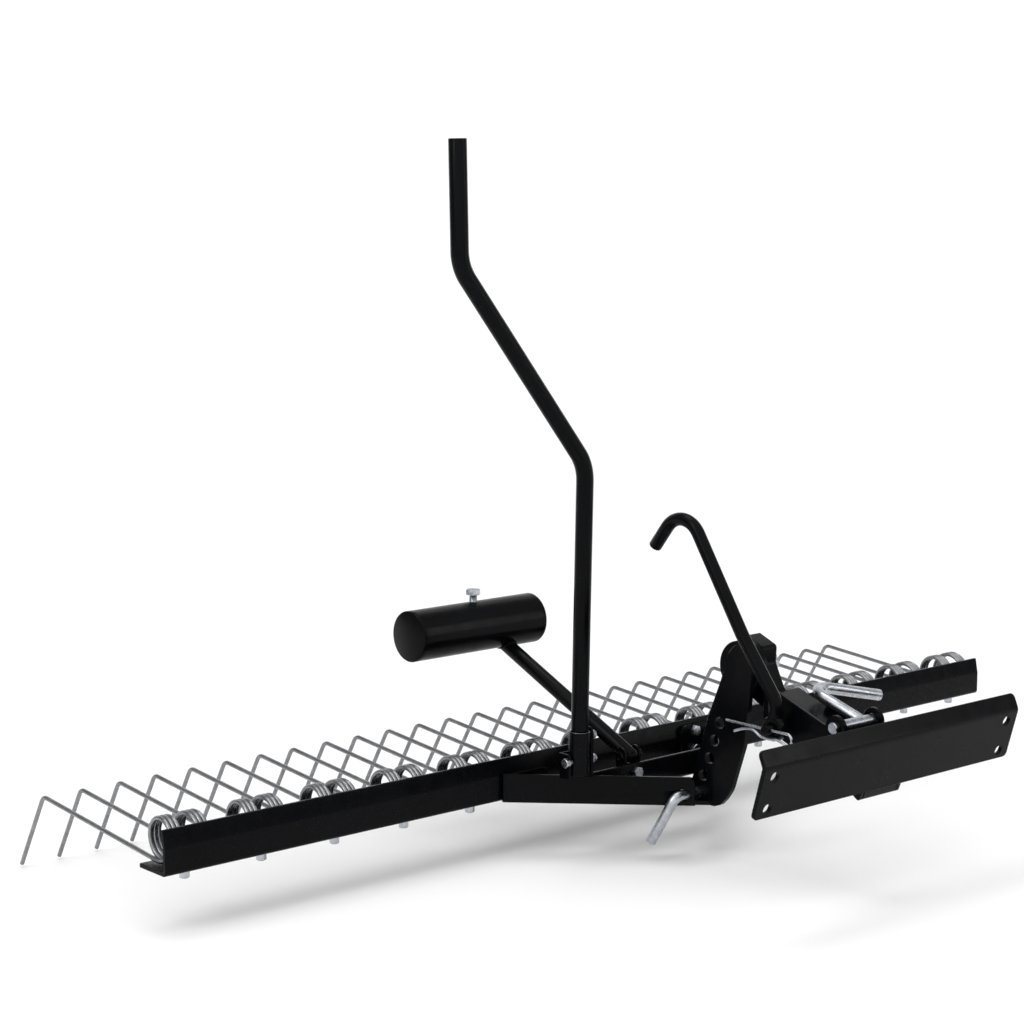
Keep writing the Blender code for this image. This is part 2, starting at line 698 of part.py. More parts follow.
def r_clip(colour):
    """Straight leg through the hook's pin, a round loop, and a wavy leg that grips under the pin."""
    z = HOOK[2]
    flat = [(-172.0, z), (-246.0, z)]
    loop = []
    for k in range(1, 8):
        angle = math.radians(90.0 + 30.0 * k)
        loop.append((-246.0 + 5.5 * math.cos(angle), z - 5.5 + 5.5 * math.sin(angle)))
    wave = [
        (-241.0, z - 9.2), (-233.0, z - 7.4), (-228.0, z - 8.0), (-222.0, z - 8.3), (-214.0, z - 7.6),
        (-208.0, z - 4.4), (-203.0, z - 3.1), (-197.0, z - 3.6), (-190.0, z - 5.4), (-182.0, z - 8.6),
    ]
    points = flat + loop + wave
    path = [(CLIP_X, y, height) for y, height in points]
    make("r_clip", tube(path, CLIP_R, 8), colour, (CLIP_X, HOOK[1], HOOK[2]))


def release_lever(colour):
    """Cross tube in the arm's ears, with a bent rod that lies in the arm and ends as a handle."""
    tube_rings = ((-31.0, 5.3, 16), (31.0, 5.3, 16))
    lever = make("release_lever", stack(RELEASE, (1, 0, 0), tube_rings), colour, RELEASE)
    path = rounded(
        ((10.0, -279.0, 98.6), (7.5, -210.0, 120.5), (88.0, -234.0, 103.0)),
        (20.0,),
        6,
    )
    join(lever, tube(path, 5.2, 12))
    return lever


def build():
    clear_scene()
    black = paint("black_paint", (0.012, 0.013, 0.016), 0.0, 0.32)
    zinc = paint("zinc", (0.62, 0.64, 0.67), 1.0, 0.28)
    spring = paint("spring_steel", (0.50, 0.52, 0.55), 1.0, 0.30)

    mount_plate(black)
    arm_cheek("arm_cheek_near", -CHEEK_OUT, -CHEEK_IN, -200.0, black)
    arm_cheek("arm_cheek_far", CHEEK_IN, CHEEK_OUT, -226.0, black)
    hitch_tongue(black)
    hook_parts(black, zinc)
    r_clip(zinc)
    release_lever(zinc)

    pivot = holder("rake_pivot", PIVOT)
    rake_bar(black, pivot)
    v_frame(black, zinc, pivot)
    cross_member(black, pivot)
    post_plate(black, pivot)
    pivot_parts(black, zinc, pivot)
    lever_parts(black, zinc, pivot)
    weight_parts(black, zinc, pivot)
    height_pin(zinc, pivot)
    tines(spring, pivot)
    tine_bolts(zinc, pivot)


build()
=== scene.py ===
import math

import bmesh
import bpy
import numpy as np
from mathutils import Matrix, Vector
from mathutils.geometry import tessellate_polygon


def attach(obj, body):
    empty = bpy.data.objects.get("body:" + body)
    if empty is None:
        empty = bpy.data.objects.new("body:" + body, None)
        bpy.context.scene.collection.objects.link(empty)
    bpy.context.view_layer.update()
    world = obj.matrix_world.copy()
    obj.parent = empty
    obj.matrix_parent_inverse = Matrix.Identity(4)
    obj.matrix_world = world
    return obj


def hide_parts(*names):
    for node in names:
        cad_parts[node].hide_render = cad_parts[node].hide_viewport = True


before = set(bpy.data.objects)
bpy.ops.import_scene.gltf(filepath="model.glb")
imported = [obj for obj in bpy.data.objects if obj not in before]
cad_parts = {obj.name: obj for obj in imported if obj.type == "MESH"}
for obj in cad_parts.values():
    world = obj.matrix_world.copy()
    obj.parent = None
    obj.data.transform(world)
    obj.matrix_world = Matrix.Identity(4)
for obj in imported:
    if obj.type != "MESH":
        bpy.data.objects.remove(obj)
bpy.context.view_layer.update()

MM = 0.001
ROOT2 = math.sqrt(2.0)

# ---------------------------------------------------------------- sizes, in millimetres, in the working
# frame: X along the rake bar, Y towards the tines, Z up, zero at the middle of the bar's lower front edge

SHEET = 4.0
BAR_HALF = 540.0
M6_R = 3.0

TINES = 14
TINE_PITCH = 78.5
WIRE_R = 2.05
COIL_R = 18.5
COIL_Y = 25.7
COIL_Z = 25.0
COIL_TURNS = 3
COIL_PITCH = 4.3
COIL_START = 6.4
LOOP_Y = 17.5
TINE_KNEE = (218.0, 23.7)
TINE_TIP = (261.3, -48.6)

NEAR_PLANE = -176.6
MIRROR_X = -28.0
POST_X = (-35.0, -29.0)
POST_HOLES = ((-121.0, 10.0), (-127.6, 27.3), (-135.3, 44.8), (-141.5, 62.4), (-147.5, 80.2))
PIN_R = 4.9
PIN_HOLE_R = 5.25
PIVOT = (-165.0, 134.0)
STUD_R = 8.0
STUD_HOLE_R = 8.35
FOOT_BOLTS = (("near_lower", -154.5, 11.0), ("far_lower", 78.5, 11.0), ("far_upper", 78.5, 30.0))

SLOPE = 0.362
RELEASE = (-280.0, 98.0)
RELEASE_R = 5.2
HOOK = (-223.0, 90.0)
HOOK_X = -42.0
HOOK_R = 6.2
HOOK_PIN_R = 4.6
CLIP_X = -51.5
CLIP_R = 1.3

PLATE_HALF = 170.0
PLATE_FACE = 48.8
PLATE_FLANGE = 15.8
PLATE_GAP = 0.35
PLATE_TILT = math.radians(15.7)
FLANGE_LEAN = math.radians(23.5)
BEND = (-330.0, 94.2)
BEND_HALF = 3.0

LEVER_Y = -60.0
LEVER_PATH = ((-129.7, 31.5), (-123.2, 318.0), (-270.4, 500.0), (-272.7, 609.0))
LEVER_BENDS = (40.0, 40.0)
LEVER_R = 8.0
LEVER_BOLT_R = 2.6
SOCKET_R = 10.0

WEIGHT_C = (134.0, 137.1)
WEIGHT_X = (-175.5, -17.5)
WEIGHT_R = 25.0
ARM_X = -56.0
ARM_FOOT = (-50.0, 36.0)
ARM_ANGLE = math.radians(24.0)
ARM_R = 7.35
ARM_GAP = 0.3
ARM_BEAD_R = 7.8

GROUND_Z = -51.5

ORIGIN = np.array(
    (
        0.0,
        BEND[0] + 0.5 * PLATE_FACE * math.sin(PLATE_TILT),
        BEND[1] - 0.5 * PLATE_FACE * math.cos(PLATE_TILT),
    )
)


def place(point):
    """A working-frame point as a scene position in metres."""
    return Vector((np.asarray(point, float) - ORIGIN) * MM)


# ---------------------------------------------------------------- light and camera settings

CAMERA_AT = (-1533.5, -1582.0, 565.6)
CAMERA_HEADING = math.radians(40.98)
CAMERA_DOWN = math.radians(7.98)
CAMERA_LENS = 80.8
CAMERA_SENSOR = 36.0
CAMERA_RANGE = (0.05, 60.0)

WORLD = 0.353
SUN_POWER = 2.31
SUN_FROM = (-0.75, -0.95, 1.25)
SUN_SPREAD = math.radians(130.0)
# Each lamp is a name, where it stands, what it points at, its size and its power, in metres and watts.
LIGHTS = (
    ("key", (-2.2, 0.2, 1.9), (-0.1, 0.3, 0.1), (0.5, 1.8), 12.0),
    ("side", (1.9, -1.9, 0.9), (0.0, 0.3, 0.1), (0.5, 1.6), 7.6),
    ("top", (0.0, 0.9, 2.6), (0.0, 0.35, 0.0), (1.6, 0.8), 10.0),
)


# ---------------------------------------------------------------- materials


class Nodes:
    """A small helper that wires up one node tree."""

    def __init__(self, tree):
        self.tree = tree

    def add(self, kind):
        return self.tree.nodes.new(kind)

    def link(self, out, into):
        self.tree.links.new(out, into)


SPECULAR = 0.07


def new_material(name):
    material = bpy.data.materials.new(name)
    material.use_nodes = True
    kit = Nodes(material.node_tree)
    return material, kit, material.node_tree.nodes["Principled BSDF"]


def noise_of(kit, position, scale, detail=3.0, rough=0.55):
    noise = kit.add("ShaderNodeTexNoise")
    noise.inputs["Scale"].default_value = scale
    noise.inputs["Detail"].default_value = detail
    noise.inputs["Roughness"].default_value = rough
    kit.link(position, noise.inputs["Vector"])
    return noise.outputs["Fac"]


def ramp_of(kit, value, stops):
    ramp = kit.add("ShaderNodeValToRGB")
    band = ramp.color_ramp
    while len(band.elements) < len(stops):
        band.elements.new(0.5)
    for element, (at, colour) in zip(band.elements, stops):
        element.position = at
        element.color = (*colour, 1.0)
    kit.link(value, ramp.inputs["Fac"])
    return ramp.outputs["Color"]


def remap(kit, value, low, high, to_low, to_high):
    node = kit.add("ShaderNodeMapRange")
    node.inputs["From Min"].default_value = low
    node.inputs["From Max"].default_value = high
    node.inputs["To Min"].default_value = to_low
    node.inputs["To Max"].default_value = to_high
    kit.link(value, node.inputs["Value"])
    return node.outputs["Result"]


def bump_of(kit, height, strength, distance, under=None):
    node = kit.add("ShaderNodeBump")
    node.inputs["Strength"].default_value = strength
    node.inputs["Distance"].default_value = distance
    kit.link(height, node.inputs["Height"])
    if under is not None:
        kit.link(under, node.inputs["Normal"])
    return node.outputs["Normal"]


def powder_coat(name, tint, rough, peel):
    """Gloss black powder coat: cloudy black, orange peel, and faint dust in the roughness."""
    material, kit, shader = new_material(name)
    position = kit.add("ShaderNodeTexCoord").outputs["Object"]
    cloud = noise_of(kit, position, 14.0, 4.0)
    dark = tuple(c * 0.7 for c in tint)
    light = tuple(c * 1.45 for c in tint)
    kit.link(ramp_of(kit, cloud, ((0.3, dark), (0.72, light))), shader.inputs["Base Color"])
    haze = noise_of(kit, position, 55.0, 5.0, 0.65)
    kit.link(remap(kit, haze, 0.3, 0.7, rough - 0.05, rough + 0.07), shader.inputs["Roughness"])
    fine = noise_of(kit, position, 900.0, 2.0)
    coarse = noise_of(kit, position, 260.0, 2.0)
    normal = bump_of(kit, coarse, peel, 0.0002)
    normal = bump_of(kit, fine, peel * 0.6, 0.0001, normal)
    kit.link(normal, shader.inputs["Normal"])
    shader.inputs["Specular IOR Level"].default_value = SPECULAR
    return material


def zinc_plate(name, low, high, rough, grain):
    """Bright zinc plate: bluish, faintly mottled, with soft scratches."""
    material, kit, shader = new_material(name)
    position = kit.add("ShaderNodeTexCoord").outputs["Object"]
    cloud = noise_of(kit, position, 120.0, 5.0, 0.6)
    kit.link(ramp_of(kit, cloud, ((0.3, low), (0.7, high))), shader.inputs["Base Color"])
    mapping = kit.add("ShaderNodeMapping")
    mapping.inputs["Scale"].default_value = grain
    kit.link(position, mapping.inputs["Vector"])
    lines = noise_of(kit, mapping.outputs["Vector"], 300.0, 3.0, 0.6)
    kit.link(remap(kit, lines, 0.25, 0.75, rough - 0.07, rough + 0.10), shader.inputs["Roughness"])
    kit.link(bump_of(kit, lines, 0.12, 0.0001), shader.inputs["Normal"])
    shader.inputs["Metallic"].default_value = 1.0
    return material


BLACK = powder_coat("black_powder_coat", (0.0014, 0.0016, 0.0021), 0.22, 0.05)
BAR_BLACK = powder_coat("black_powder_coat_bar", (0.0011, 0.0013, 0.0019), 0.26, 0.04)
ZINC = zinc_plate("zinc_plate", (0.32, 0.34, 0.37), (0.52, 0.54, 0.57), 0.27, (1.0, 1.0, 1.0))
WIRE = zinc_plate("spring_wire", (0.19, 0.195, 0.205), (0.30, 0.305, 0.315), 0.29, (1.0, 0.06, 1.0))
# Painted highlight: a grey bare-metal look for the thin bright line where light catches the lever socket's
# top rim.
RIM_HIGHLIGHT = zinc_plate("painted_highlight_rim", (0.10, 0.105, 0.115), (0.22, 0.23, 0.25), 0.34, (1.0, 1.0, 1.0))

# ---------------------------------------------------------------- shapes

NEARLY_STRAIGHT = 1.53


def unit(vector):
    vector = np.asarray(vector, float)
    return vector / np.linalg.norm(vector)


def turn_frame(axis):
    """The axis as a unit vector, with two unit vectors square to it."""
    axis = unit(axis)
    helper = np.array((0.0, 0.0, 1.0)) if abs(axis[2]) < 0.9 else np.array((1.0, 0.0, 0.0))
    first = unit(np.cross(helper, axis))
    return axis, first, np.cross(axis, first)


def bridge(first, second):
    """Faces between two closed loops of vertex numbers, whose counts may differ."""
    na, nb = len(first), len(second)
    faces = []
    if na == nb:
        for i in range(na):
            j = (i + 1) % na
            faces.append((first[i], first[j], second[j], second[i]))
        return faces
    i = j = 0
    while i < na or j < nb:
        if j >= nb or (i < na and (i + 1) / na <= (j + 1) / nb):
            faces.append((first[i % na], first[(i + 1) % na], second[j % nb]))
            i += 1
        else:
            faces.append((first[i % na], second[(j + 1) % nb], second[j % nb]))
            j += 1
    return faces


def skin(loops, ring_shaped=False):
    """Faces over a row of loops, with end caps or joined back to the first loop."""
    faces = []
    for a, b in zip(loops, loops[1:]):
        faces += bridge(a, b)
    if ring_shaped:
        faces += bridge(loops[-1], loops[0])
    else:
        faces += [tuple(reversed(loops[0])), tuple(loops[-1])]
    return faces


def stack(centre, axis, rings, ring_shaped=False, turn=0.0):
    """A solid of stacked rings along an axis. Each ring is (distance, radius, corners)."""
    axis, first, second = turn_frame(axis)
    centre = np.asarray(centre, float)
    verts = []
    loops = []
    for distance, radius, corners in rings:
        loop = []
        for i in range(corners):
            angle = 2.0 * math.pi * i / corners + turn
            loop.append(len(verts))
            across = math.cos(angle) * first + math.sin(angle) * second
            verts.append(centre + axis * distance + across * radius)
        loops.append(loop)
    return verts, skin(loops, ring_shaped)


def area_of(loop):
    total = 0.0
    for (ax, ay), (bx, by) in zip(loop, loop[1:] + loop[:1]):
        total += ax * by - bx * ay
    return 0.5 * total


def inset(loop, amount):
    """The loop moved to its left by an amount."""
    count = len(loop)
    moved = []
    for i in range(count):
        here = np.array(loop[i])
        a = unit(here - np.array(loop[i - 1]))
        b = unit(np.array(loop[(i + 1) % count]) - here)
        left = unit((-a[1] - b[1], a[0] + b[0]))
        along = float(np.dot(left, np.array((-a[1], a[0]))))
        moved.append(tuple(here + left * amount / max(0.35, along)))
    return moved


def plate(outline, thickness, origin, u, v, holes=(), edge=0.45):
    """A sheet with eased edges and holes, in the plane of u and v, thickened along u x v."""
    u = np.asarray(u, float)
    v = np.asarray(v, float)
    normal = np.cross(u, v) * (1.0 if thickness > 0 else -1.0)
    thickness = abs(thickness)
    origin = np.asarray(origin, float)
    loops = []
    for number, loop in enumerate([list(outline), *[list(h) for h in holes]]):
        loop = [tuple(p) for p in loop]
        if (area_of(loop) > 0) != (number == 0):
            loop = list(reversed(loop))
        loops.append(loop)
    verts = []
    faces = []
    flats = ([], [])
    for loop in loops:
        narrow = inset(loop, edge)
        rows = []
        for level, ring in ((0.0, narrow), (edge, loop), (thickness - edge, loop), (thickness, narrow)):
            rows.append([])
            for a, b in ring:
                rows[-1].append(len(verts))
                verts.append(origin + u * a + v * b + normal * level)
        for a, b in zip(rows, rows[1:]):
            faces += bridge(a, b)
        flats[0].append((rows[0], narrow))
        flats[1].append((rows[3], narrow))
    for side, parts in enumerate(flats):
        numbers = [n for row, _ in parts for n in row]
        rings = [[Vector((a, b, 0.0)) for a, b in ring] for _, ring in parts]
        for triangle in tessellate_polygon(rings):
            corner = tuple(numbers[i] for i in triangle)
            a, b, c = (np.array(verts[i]) for i in corner)
            ahead = float(np.dot(np.cross(b - a, c - a), normal)) > 0
            faces.append(corner if ahead == (side == 1) else tuple(reversed(corner)))
    return verts, faces


def circle(y, z, radius, corners=40):
    points = []
    for i in range(corners):
        angle = 2.0 * math.pi * i / corners
        points.append((y + radius * math.cos(angle), z + radius * math.sin(angle)))
    return points


def half_angle(back, ahead):
    """Half the angle between two unit vectors."""
    return 0.5 * math.acos(max(-1.0, min(1.0, float(np.dot(back, ahead)))))


def corner_arc(here, back, ahead, radius, steps):
    """Points of the arc that turns a corner, from its unit vectors back and ahead."""
    half = half_angle(back, ahead)
    reach = radius / math.tan(half)
    centre = here + unit(back + ahead) * (radius / math.sin(half))
    start = here + back * reach - centre
    end = here + ahead * reach - centre
    sweep = math.pi - 2.0 * half
    points = []
    for k in range(steps + 1):
        t = k / steps
        a = math.sin((1 - t) * sweep) / math.sin(sweep)
        b = math.sin(t * sweep) / math.sin(sweep)
        points.append(centre + a * start + b * end)
    return points


def soften(outline, radius, steps=5):
    """An outline with its corners turned into arcs. The radius is one number, or one for each corner."""
    count = len(outline)
    radii = [radius] * count if isinstance(radius, (int, float)) else list(radius)
    points = []
    for i in range(count):
        here = np.array(outline[i], float)
        back = np.array(outline[i - 1], float) - here
        ahead = np.array(outline[(i + 1) % count], float) - here
        shorter = min(np.linalg.norm(back), np.linalg.norm(ahead))
        back, ahead = unit(back), unit(ahead)
        half = half_angle(back, ahead)
        if radii[i] <= 0.0 or half > NEARLY_STRAIGHT:
            points.append(tuple(here))
            continue
        fitting = min(radii[i], 0.48 * shorter * math.tan(half))
        points += [tuple(p) for p in corner_arc(here, back, ahead, fitting, steps)]
    return points


def along_x(outline, x0, x1, holes=(), edge=0.45):
    """A plate whose outline is in Y and Z, between two places along X."""
    return plate(outline, x1 - x0, (x0, 0.0, 0.0), (0, 1, 0), (0, 0, 1), holes, edge)


def along_z(outline, z0, z1, edge=0.45):
    """A plate whose outline is in X and Y, between two heights."""
    return plate(outline, z1 - z0, (0.0, 0.0, z0), (1, 0, 0), (0, 1, 0), (), edge)


def rounded(points, radii, steps):
    """A path with each inner corner turned into an arc."""
    points = [np.asarray(p, float) for p in points]
    path = [points[0]]
    for i in range(1, len(points) - 1):
        here = points[i]
        back = unit(points[i - 1] - here)
        ahead = unit(points[i + 1] - here)
        path += corner_arc(here, back, ahead, radii[i - 1], steps)
    path.append(points[-1])
    return path


def tube(path, radius, sides, ease=0.5):
    """A round bar along a path with eased ends and no twist."""
    path = [np.asarray(p, float) for p in path]
    first = unit(path[1] - path[0])
    last = unit(path[-1] - path[-2])
    rings = [(path[0], radius - ease), (path[0] + first * 0.3 * ease, radius - 0.3 * ease)]
    rings += [(path[0] + first * ease, radius)]
    rings += [(p, radius) for p in path[1:-1]]
    rings += [(path[-1] - last * ease, radius)]
    rings += [(path[-1] - last * 0.3 * ease, radius - 0.3 * ease), (path[-1], radius - ease)]
    count = len(rings)
    verts = []
    loops = []
    side = None
    for i in range(count):
        centre, ring_radius = rings[i]
        t = unit(rings[min(i + 1, count - 1)][0] - rings[max(i - 1, 0)][0])
        if side is None:
            side = turn_frame(t)[1]
        side = unit(side - t * float(np.dot(side, t)))
        other = np.cross(t, side)
        loop = []
        for k in range(sides):
            angle = 2.0 * math.pi * k / sides
            loop.append(len(verts))
            verts.append(centre + ring_radius * (math.cos(angle) * side + math.sin(angle) * other))
        loops.append(loop)
    return verts, skin(loops)


def merged(*shapes):
    """Several shapes as one piece."""
    verts = []
    faces = []
    for more_verts, more_faces in shapes:
        start = len(verts)
        verts += list(more_verts)
        faces += [tuple(i + start for i in face) for face in more_faces]
    return verts, faces


def flip_x(shape):
    """The shape mirrored about the middle of the V frame."""
    verts, faces = shape
    moved = [np.array((2.0 * MIRROR_X - v[0], v[1], v[2])) for v in verts]
    return moved, faces


# ---------------------------------------------------------------- pieces

MERGE_WITHIN = 1e-6
SHARP_FROM = math.radians(33.0)
THREAD_DEPTH = 0.35


def add_object(name, data):
    obj = bpy.data.objects.new(name, data)
    bpy.context.scene.collection.objects.link(obj)
    return obj


def mesh_of(name, shape, origin=ORIGIN):
    """A mesh in metres about an origin, with its normals outward and its sharp edges marked."""
    verts, faces = shape
    base = np.asarray(origin, float)
    mesh = bpy.data.meshes.new(name)
    mesh.from_pydata([tuple((np.asarray(v, float) - base) * MM) for v in verts], [], faces)
    mesh.update()
    work = bmesh.new()
    work.from_mesh(mesh)
    bmesh.ops.remove_doubles(work, verts=work.verts, dist=MERGE_WITHIN)
    bmesh.ops.recalc_face_normals(work, faces=work.faces)
    work.to_mesh(mesh)
    work.free()
    mesh.shade_smooth()
    mesh.set_sharp_from_angle(angle=SHARP_FROM)
    return mesh


def piece(name, shape, material, body, nodes, mesh=None, at=None):
    """A finished piece that rides on a CAD body and stands for CAD nodes."""
    if mesh is None:
        mesh = mesh_of(name, shape)
    if not mesh.materials:
        mesh.materials.append(material)
    obj = add_object(name, mesh)
    if at is not None:
        obj.location = at
    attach(obj, body)
    if nodes:
        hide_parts(*nodes)


def thread_rings(start, end, radius, pitch, sides=20):
    """Rings that rise and fall once in each pitch, for the thread of a bolt."""
    rings = []
    count = max(1, int(round(abs(end - start) / pitch)))
    step = (end - start) / count
    for k in range(count):
        rings.append((start + step * k, radius - THREAD_DEPTH, sides))
        rings.append((start + step * (k + 0.5), radius, sides))
    rings.append((end, radius - 0.5, sides))
    return rings


# ---------------------------------------------------------------- tines and their bolts

TINE_BEND_R = 9.0
BOLT_TURNS = (0.2, 0.65, 1.0)


def tine_x(index):
    return (index - (TINES - 1) / 2.0) * TINE_PITCH


def tine_shape():
    """One wire: a loop under the clamp, a coil each side and a finger from each coil."""
    steps = 36
    lean = math.atan2(TINE_KNEE[1] - (COIL_Z - COIL_R), TINE_KNEE[0] - COIL_Y)
    for _ in range(4):
        foot = (COIL_Y + COIL_R * math.sin(lean), COIL_Z - COIL_R * math.cos(lean))
        lean = math.atan2(TINE_KNEE[1] - foot[1], TINE_KNEE[0] - foot[0])
    right = []
    loop_z = COIL_Z - COIL_R
    for k in range(1, 12):
        angle = -math.pi / 2 + k * math.pi / 24
        right.append((COIL_START * math.cos(angle), LOOP_Y + COIL_START * math.sin(angle), loop_z))
    whole = 2.0 * math.pi * COIL_TURNS + lean
    count = COIL_TURNS * steps
    for k in range(count + 1):
        turned = whole * k / count
        x = COIL_START + COIL_PITCH * turned / (2.0 * math.pi)
        angle = -math.pi / 2 + turned
        right.append((x, COIL_Y + COIL_R * math.cos(angle), COIL_Z + COIL_R * math.sin(angle)))
    side = right[-1][0]
    bend = rounded(((side, *foot), (side, *TINE_KNEE), (side, *TINE_TIP)), (TINE_BEND_R,), 10)
    right += [tuple(p) for p in bend[1:]]
    left = [(-x, y, z) for x, y, z in reversed(right)]
    return tube(left + [(0.0, LOOP_Y - COIL_START, loop_z)] + right, WIRE_R, 12, 0.4)


def tine_bolt_shape(turn):
    """A flange bolt from below, its clamp washer and its nut, turned about its own axis."""
    head = [(-9.4, 3.3, 24), (-8.8, 4.6, 6), (-2.5, 4.6, 6), (-2.3, 4.9, 6)]
    flange = [(-1.9, 6.1, 32), (-1.0, 6.5, 32), (-0.3, 6.5, 32), (-0.3, M6_R, 20), (8.9, M6_R, 20)]
    washer = [(8.9, 7.8, 36), (9.2, 8.3, 36), (10.4, 8.3, 36), (10.7, 7.9, 36)]
    nut = [(10.7, 5.0, 24), (11.3, 5.8, 6), (14.6, 5.8, 6), (15.2, 4.9, 24), (15.2, M6_R, 20)]
    rings = head + flange + washer + nut + thread_rings(15.3, 17.2, M6_R, 1.0)
    return stack((0.0, 0.0, 0.0), (0, 0, 1), rings, False, turn)


tine_mesh = mesh_of("tine_wire", tine_shape(), (0.0, 0.0, 0.0))
bolt_meshes = []
for turn in BOLT_TURNS:
    name = "tine_bolt_%d" % int(turn * 100)
    bolt_meshes.append(mesh_of(name, tine_bolt_shape(turn), (0.0, 0.0, 0.0)))
for index in range(TINES):
    label = "%02d" % (index + 1)
    at = place((tine_x(index), 0.0, 0.0))
    piece("tine_wire_" + label, None, WIRE, "rake", ["tine_" + label], tine_mesh, at)
    at = place((tine_x(index), LOOP_Y, 0.0))
    mesh = bolt_meshes[(index * 2) % len(bolt_meshes)]
    piece("tine_clamp_" + label, None, ZINC, "rake", ["tine_bolt_" + label], mesh, at)

# ---------------------------------------------------------------- rake bar, V frame, post plate

bar_outline = soften(
    (
        (0.0, 0.0), (40.4, 0.0), (40.4, SHEET), (SHEET, SHEET),
        (SHEET, 23.6), (7.1, 39.6), (3.1, 40.0), (0.0, 24.0),
    ),
    (4.0, 0.8, 0.8, 2.0, 12.0, 0.8, 0.8, 12.0),
)
bar = along_x(bar_outline, -BAR_HALF, BAR_HALF, (), 0.5)
piece("bar_angle", bar, BAR_BLACK, "rake", ["rake_bar"])


def along_the_pin(web, s, z):
    """The web with its pin hole slanted, so that the hole runs along X through the 45 degree sheet."""
    verts, faces = web
    along = np.array((1.0, -1.0, 0.0)) / ROOT2
    inward = np.array((1.0, 1.0, 0.0)) / ROOT2
    hole_edge = PIN_HOLE_R + 1.2
    moved = []
    for vert in verts:
        point = np.array(vert, float)
        flat = point - np.array((NEAR_PLANE, 0.0, 0.0))
        if math.hypot((float(flat @ along) - s) / ROOT2, point[2] - z) < hole_edge:
            point = point + along * float(flat @ inward)
        moved.append(point)
    return moved, faces


def v_arm_shape(reach, plate_x, foot_high, pin_hole):
    """An arm of the V frame on its near side: a web at 45 degrees, a flat leg inside it and a foot."""
    u = (1.0 / ROOT2, -1.0 / ROOT2, 0.0)
    outline = soften(((4.5, 0.0), (reach, 0.0), (reach, 27.0), (4.5, 27.0)), (0.0, 0.6, 6.0, 0.0), 6)
    holes = []
    if pin_hole:
        y, z = POST_HOLES[0]
        s = -y * ROOT2
        turns = [2.0 * math.pi * k / 32 for k in range(32)]
        holes.append([(s + PIN_HOLE_R * ROOT2 * math.cos(a), z + PIN_HOLE_R * math.sin(a)) for a in turns])
    web = plate(outline, -SHEET, (NEAR_PLANE, 0.0, 0.0), u, (0, 0, 1), holes, 0.7)
    if pin_hole:
        web = along_the_pin(web, s, z)
    inside = NEAR_PLANE + 4.9
    far = NEAR_PLANE + 24.0 * ROOT2
    leg_outline = (
        (inside + 0.35, -0.35), (plate_x, inside - plate_x),
        (plate_x, far - plate_x), (far + 0.35, -0.35),
    )
    leg = along_z(leg_outline, 0.1, SHEET, 0.4)
    foot_outline = ((-172.3, 0.1), (-117.0, 0.1), (-117.0, foot_high), (-172.3, foot_high))
    foot_outline = soften(foot_outline, (0.5, 4.0, 8.0, 8.0), 5)
    foot = plate(foot_outline, SHEET, (0.0, -0.32, 0.0), (1, 0, 0), (0, 0, 1), (), 0.5)
    return merged(web, leg, foot)


near_arm = v_arm_shape(183.3, -35.3, 26.0, True)
piece("v_frame_arm_near", near_arm, BLACK, "rake", ["v_arm_near"])
far_arm = flip_x(v_arm_shape(170.0, -27.3, 36.0, False))
piece("v_frame_arm_far", far_arm, BLACK, "rake", ["v_arm_far"])


def cross_member_shape():
    """An angle along X whose ends are cut at 45 degrees against the arms."""
    section = soften(
        ((-60.0, 4.4), (-34.0, 4.4), (-34.0, 8.4), (-56.0, 8.4), (-56.0, 29.0), (-60.0, 29.0)),
        (3.5, 0.7, 0.7, 1.5, 0.9, 0.9),
    )
    near = NEAR_PLANE + SHEET * ROOT2 + 0.45
    verts = []
    for y, z in section:
        verts.append((near - y, y, z))
    for y, z in section:
        verts.append((2.0 * MIRROR_X - near + y, y, z))
    count = len(section)
    faces = [tuple(range(count)), tuple(range(2 * count - 1, count - 1, -1))]
    for i in range(count):
        j = (i + 1) % count
        faces.append((j, i, count + i, count + j))
    return verts, faces


piece("v_frame_cross_member", cross_member_shape(), BLACK, "rake", ["cross_member"])

post_outline = soften(
    (
        (-112.0, 0.0), (-112.0, 18.0), (-117.0, 34.0), (-133.0, 85.0), (-148.0, 120.0), (-153.0, 134.0),
        (-157.0, 147.0), (-166.0, 157.0), (-176.0, 157.0), (-184.0, 148.0), (-187.0, 134.0), (-179.0, 65.8),
        (-163.0, 19.2), (-156.0, 9.4), (-149.5, 3.0), (-141.9, 0.0),
    ),
    (3.0, 10.0, 30.0, 60.0, 40.0, 20.0, 12.0, 12.0, 12.0, 12.0, 25.0, 60.0, 25.0, 10.0, 10.0, 10.0),
    6,
)
post_holes = [circle(y, z, 5.4) for y, z in POST_HOLES]
post = along_x(post_outline, *POST_X, post_holes, 0.6)
piece("height_plate", post, BLACK, "rake", ["post_plate"])

at = (0.0, *PIVOT)
spacer = [(-28.7, STUD_HOLE_R, 48), (-28.7, 23.6, 48), (-27.8, 24.5, 48)]
spacer += [(-15.6, 24.5, 48), (-14.7, 23.6, 48), (-14.7, STUD_HOLE_R, 48)]
piece("pivot_bush", stack(at, (1, 0, 0), spacer, True), BLACK, "rake", ["pivot_spacer"])
stud = [(-34.9, STUD_R - 0.4, 40), (-34.5, STUD_R, 40), (10.0, STUD_R, 40)]
stud += thread_rings(10.2, 15.5, STUD_R, 1.6, 40)
piece("pivot_pin", stack(at, (1, 0, 0), stud), ZINC, "rake", ["pivot_stud"])
nut = [(4.8, 8.4, 40), (4.8, 14.1, 40), (5.2, 14.5, 40), (6.4, 14.5, 40), (6.8, 14.1, 40), (6.8, 11.4, 24)]
nut += [(7.6, 13.3, 6), (12.2, 13.3, 6), (13.0, 11.2, 24), (13.0, 8.4, 40)]
piece("pivot_lock_nut", stack(at, (1, 0, 0), nut, True), ZINC, "rake", ["pivot_nut"])

